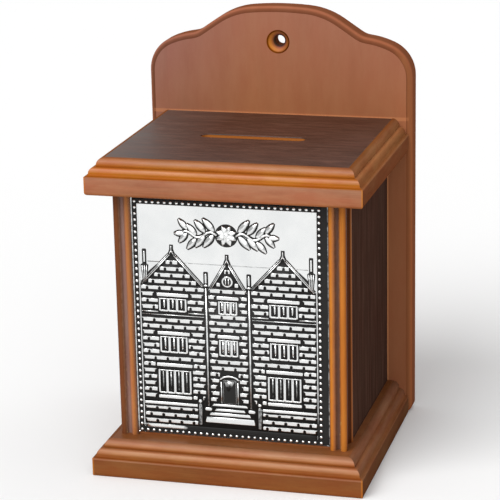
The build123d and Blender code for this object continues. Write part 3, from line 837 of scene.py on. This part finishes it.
def pinnacle(relief, side):
    """Pinnacle between two gables, and the rain pipe under it."""
    x = CENTRE + side * PIPE
    pad(relief, rounded(x - 1.05, x + 1.05, 83.6, 91.8, 0.5), 0.08)
    bar(relief, x - 0.45, x + 0.45, 86.6, 91.0, 0.4, 0.2, ground=0.08, top_patina=0.15)
    bar(relief, x - 0.8, x + 0.8, 85.2, 86.2, 0.5, 0.3, ground=0.08, top_patina=0.1)
    pipe = [(x, 31.0), (x, 50.0), (x, 60.0), (x, 84.6)]
    ridge(relief, pipe, 0.95, 0.62, crest=[0.45, 0.4, 0.05, 0.0])


def bands(relief, side):
    """Sill lines and plinth of one outer bay, and the pier beside the steps with its ball."""
    middle, wall_end = CENTRE + side * BAY, CENTRE + side * WALL
    x0, x1 = sorted((CENTRE + side * (PIPE + 1.1), wall_end))
    for start, end in ((x0, middle - 6.7), (middle + 6.7, x1)):
        ridge(relief, [(start, 72.7), (end, 72.7)], 0.62, 0.36)
    ridge(relief, [(x0, 71.4), (x1, 71.4)], 0.45, 0.3, crest=0.22)
    x0, x1 = sorted((CENTRE + side * (PIER + 1.2), wall_end))
    bar(relief, x0, x1, 30.1, 31.5, 0.5, 0.2, 0.3)
    pier = CENTRE + side * PIER
    bar(relief, pier - 0.75, pier + 0.75, 22.0, 31.8, 0.6, 0.3, top_patina=0.54)
    cushion(relief, circle(pier, 33.0, 0.85, 12), 0.6, 0.05, 0.4)


def ground_strip(relief, count=24):
    """The strip under the wall, bright at its left end and darker further right."""
    low, high = PEARL_BOTTOM + 1.0, WALL_FOOT - 0.2
    places = [CENTRE - WALL + 2 * WALL * i / count for i in range(count + 1)]
    tones = [min(0.85, max(0.0, (x - PEARL_LEFT - 16.0) / 9.0)) + random.uniform(-0.04, 0.04)
             for x in places]
    ridge(relief, [(x, (low + high) / 2) for x in places], high - low, 0.16, crest=tones, foot=1.2)


def front_door(relief):
    """Arch, jambs and a dull door with a painted highlight in it, brightest at the top."""
    arch = [(CENTRE + 4.6 * math.cos(math.radians(a)), 42.2 + 3.0 * math.sin(math.radians(a)))
            for a in range(155, 24, -13)]
    ridge(relief, arch, 0.9, 0.5)
    for side in (-1, 1):
        x = CENTRE + side * 3.7
        ridge(relief, [(x, 32.6), (x, 42.6)], 0.65, 0.35, crest=0.3)
    cushion(relief, rectangle(CENTRE - 2.9, CENTRE + 2.9, 32.6, 43.4), 0.16, 0.05, 0.3, 0.8)
    top = 42.9
    # Painted highlight: a flat patch of brighter silver, brightest at its top.
    shine = [(CENTRE - 1.2, 38.4), (CENTRE - 0.2, 38.4), (CENTRE + 2.3, top), (CENTRE - 2.3, top)]
    relief.solid([(shine, level, lambda x, z: 0.32 + 0.12 * (top - z)) for level in (0.1, 0.235)])


def door_steps(relief):
    """Steps up to the door, and a low block at each end of them."""
    for half, z0, z1 in ((8.1, 31.2, 32.3), (7.0, 28.9, 30.1), (9.4, 26.8, 28.2), (11.3, 23.4, 26.1)):
        tread = [(CENTRE - half, z0), (CENTRE + half, z0),
                 (CENTRE + half - 0.7, z1), (CENTRE - half + 0.7, z1)]
        cushion(relief, tread, 0.45, 0.05, 0.3)
    for side in (-1, 1):
        x = CENTRE + side * 9.7
        bar(relief, x - 1.6, x + 1.6, 28.8, 30.4, 0.45, 0.5, 0.3)


def round_window(relief):
    """Blackened round pane in a bright rim, with two upright bars."""
    z, radius = course_at(ROUND_COURSE), 2.5
    cushion(relief, circle(CENTRE, z, radius, 28), 0.4, 0.05, 0.25, 0.1)
    cushion(relief, circle(CENTRE, z, radius - 0.6, 28), 0.46, 0.05, 0.2, 1.0)
    for side in (-1, 1):
        x = CENTRE + side * 0.65
        ridge(relief, [(x, z - 1.6), (x, z + 1.6)], 0.5, 0.25, 0.4, crest=0.1)


def bay_windows(relief, middle):
    """Three storeys of windows of an outer bay, the ground floor's sill, and their lintels."""
    window(relief, middle, 5.8, *UPPER)
    window(relief, middle, 5.8, *MIDDLE)
    window(relief, middle, 7.0, *GROUND, lights=4, glazing=(0.58, 0.46))
    bar(relief, middle - 7.6, middle + 7.6, 33.2, 34.8, 0.6, 0.3, 0.3)
    for half, course in ((7.1, UPPER_LINTEL), (7.3, MIDDLE_LINTEL), (8.1, GROUND_LINTEL)):
        lintel(relief, middle, half, course)


def house(material):
    relief = Relief()
    house_ground(relief)
    for middle, half, foot, rise in GABLES:
        gable_edges(relief, middle, half, foot, rise)
        finial(relief, middle, foot + rise)
    for side in (-1, 1):
        chimney(relief, side)
        outer_roof(relief, side)
        pinnacle(relief, side)
    for side in (-1, 1):
        bands(relief, side)
    ground_strip(relief)
    for middle in BAYS:
        bay_windows(relief, middle)
    for storey, course in ((UPPER, UPPER_LINTEL), (MIDDLE, MIDDLE_LINTEL)):
        window(relief, CENTRE, 3.85, *storey)
        lintel(relief, CENTRE, 4.9, course)
    front_door(relief)
    door_steps(relief)
    round_window(relief)
    relief.build("plaque_house", material)
    bricks = Relief()
    brickwork(bricks)
    bricks.build("plaque_bricks", material)


# ---- a leaf garland in the sky

SKY_LEVEL = 108.2       # the garland's middle
HORIZON = 95.1          # a faint line behind the gables
STEM_START, STEM_STEP, WAVE, WAVE_RATE = 4.2, 1.25, 1.3, 0.72


def leaf(relief, x, z, angle, length, wide):
    """Leaf with a sharp midrib, blackened round its edge; angle is anticlockwise from the right."""
    turn = math.radians(angle)
    shares = [0.0, 0.12, 0.3, 0.5, 0.7, 0.88, 1.0]
    widths = [0.2, 0.62, 0.95, 1.0, 0.78, 0.4, 0.06]
    path = [(x + length * t * math.cos(turn), z + length * t * math.sin(turn)) for t in shares]
    ridge(relief, path, [wide * w + 0.95 for w in widths], 0.06, 0.0, crest=1.0)
    # The leaf's lower slope takes painted shade.
    ridge(relief, path, [wide * w for w in widths], 0.95, 0.05, roof=True, lower_shade=0.62)


def branch(relief, side):
    """Waved stem with four pairs of leaves, smaller further out, and one at its tip."""
    stem = [(CENTRE + side * (STEM_START + STEM_STEP * i), SKY_LEVEL + WAVE * math.sin(i * WAVE_RATE))
            for i in range(13)]
    if side < 0:
        stem.reverse()
    ridge(relief, stem, 2.1, 0.05, 0.0, crest=1.0)
    for i in range(4):
        x = 5.4 + 3.9 * i
        z = SKY_LEVEL + WAVE * math.sin((x - STEM_START) / STEM_STEP * WAVE_RATE)
        for rise in (1, -1):
            angle = 90 - side * (90 - rise * 50)
            leaf(relief, CENTRE + side * x, z + rise * 0.7, angle, 7.6 - 0.5 * i, 2.9 - 0.15 * i)
    leaf(relief, CENTRE + side * 18.2, SKY_LEVEL, 90 - side * 90, 5.0, 2.4)
    # The stem's lower slope takes painted shade.
    ridge(relief, stem, 1.1, 0.6, 0.05, lower_shade=0.4)


def garland(material):
    """A rosette between two leafy branches, over a faint horizon."""
    relief = Relief()
    for side in (-1, 1):
        branch(relief, side)
    cushion(relief, circle(CENTRE, SKY_LEVEL, 5.1, 32), 0.1, 0.0, 0.1, 1.0)
    for i in range(8):
        leaf(relief, CENTRE, SKY_LEVEL, 45 * i + 22.5, 4.7, 2.8)
    cushion(relief, circle(CENTRE, SKY_LEVEL, 1.5, 18), 1.0, 0.1, 1.1)
    horizon = [(PEARL_LEFT + 5.0, HORIZON), (PEARL_RIGHT - 5.0, HORIZON)]
    ridge(relief, horizon, 0.34, 0.03, 0.0, foot=0.5, crest=0.38)
    relief.build("plaque_garland", material)


def silver_material():
    s = Shader("plaque_silver")
    patina = s.node("Attribute", attribute_name="patina").outputs["Fac"]
    mottle = s.noise(s.place(), 700.0, 4.0, 0.6)
    black = s.span(s.math("ADD", patina, s.span(mottle, 0.3, 0.7, -0.1, 0.1)), 0.3, 0.62)
    haze = s.noise(s.place(), 90.0, 3.0)
    bright = s.ramp(haze, [(0.35, (0.80, 0.815, 0.815)), (0.65, (0.87, 0.88, 0.875))])
    s.surface(Base_Color=s.mix(black, bright, (0.018, 0.0175, 0.017, 1)),
              Metallic=s.span(black, 0.3, 1.0, 1.0, 0.0), Specular_IOR_Level=0.12,
              Roughness=s.math("ADD", s.span(haze, 0.3, 0.7, 0.13, 0.22), s.span(black, 0.0, 1.0, 0.0, 0.25)))
    s.bump(s.mix(0.35, s.noise(s.place(), 240.0, 2.0), mottle), 0.15, 0.00005)
    return s.material


silver = silver_material()
plaque_sheet(silver)
pearl_border(silver)
house(silver)
garland(silver)


# ---- floor, light and camera -----------------------------------------------------------------

FLOOR_HALF = 4.0
WHITE = (1, 1, 1, 1)

# The camera is fitted to the photograph's edges: turns in degrees, place in metres.
CAMERA_YAW, CAMERA_PITCH, CAMERA_ROLL = 15.317, 16.4955, -1.1976
CAMERA_PLACE = (0.22712, -0.83787, 0.34690)
SENSOR, LENS = 36.0, 147.07


def floor():
    mesh = bpy.data.meshes.new("floor")
    half = FLOOR_HALF
    corners = [(-half, -half, 0), (half, -half, 0), (half, half, 0), (-half, half, 0)]
    mesh.from_pydata(corners, [], [(0, 1, 2, 3)])
    s = Shader("floor_paper")
    s.surface(Base_Color=(0.86, 0.86, 0.86, 1), Roughness=0.9, Specular_IOR_Level=0.1)
    mesh.materials.append(s.material)
    made = bpy.data.objects.new("floor", mesh)
    bpy.context.scene.collection.objects.link(made)


def sun(name, azimuth, elevation, strength, spread):
    """Soft distant light; azimuth 0 comes from the front, positive from the right."""
    data = bpy.data.lights.new(name, "SUN")
    data.energy = strength
    data.angle = math.radians(spread)
    made = bpy.data.objects.new(name, data)
    turn, rise = math.radians(azimuth), math.radians(elevation)
    toward = Vector((math.sin(turn) * math.cos(rise), -math.cos(turn) * math.cos(rise), math.sin(rise)))
    made.rotation_euler = toward.to_track_quat("Z", "Y").to_euler()
    bpy.context.scene.collection.objects.link(made)


def world(strength):
    made = bpy.data.worlds.new("studio")
    made.use_nodes = True
    background = made.node_tree.nodes["Background"]
    background.inputs["Color"].default_value = WHITE
    background.inputs["Strength"].default_value = strength
    bpy.context.scene.world = made


def camera():
    data = bpy.data.cameras.new("camera")
    data.sensor_width = SENSOR
    data.lens = LENS
    data.clip_start = 0.05
    made = bpy.data.objects.new("camera", data)
    yaw, pitch, roll = (math.radians(angle) for angle in (CAMERA_YAW, CAMERA_PITCH, CAMERA_ROLL))
    level = Matrix.Rotation(yaw, 4, "Z") @ Matrix.Rotation(math.pi / 2 - pitch, 4, "X")
    turn = level @ Matrix.Rotation(roll, 4, "Z")
    made.matrix_world = Matrix.Translation(CAMERA_PLACE) @ turn
    bpy.context.scene.collection.objects.link(made)
    bpy.context.scene.camera = made


floor()
sun("key", -32, 44, 2.25, 45)
sun("front", 14, 30, 0.8, 60)
sun("back", 150, 50, 0.3, 60)
world(0.48)
camera()
bpy.context.scene.view_settings.view_transform = "Standard"
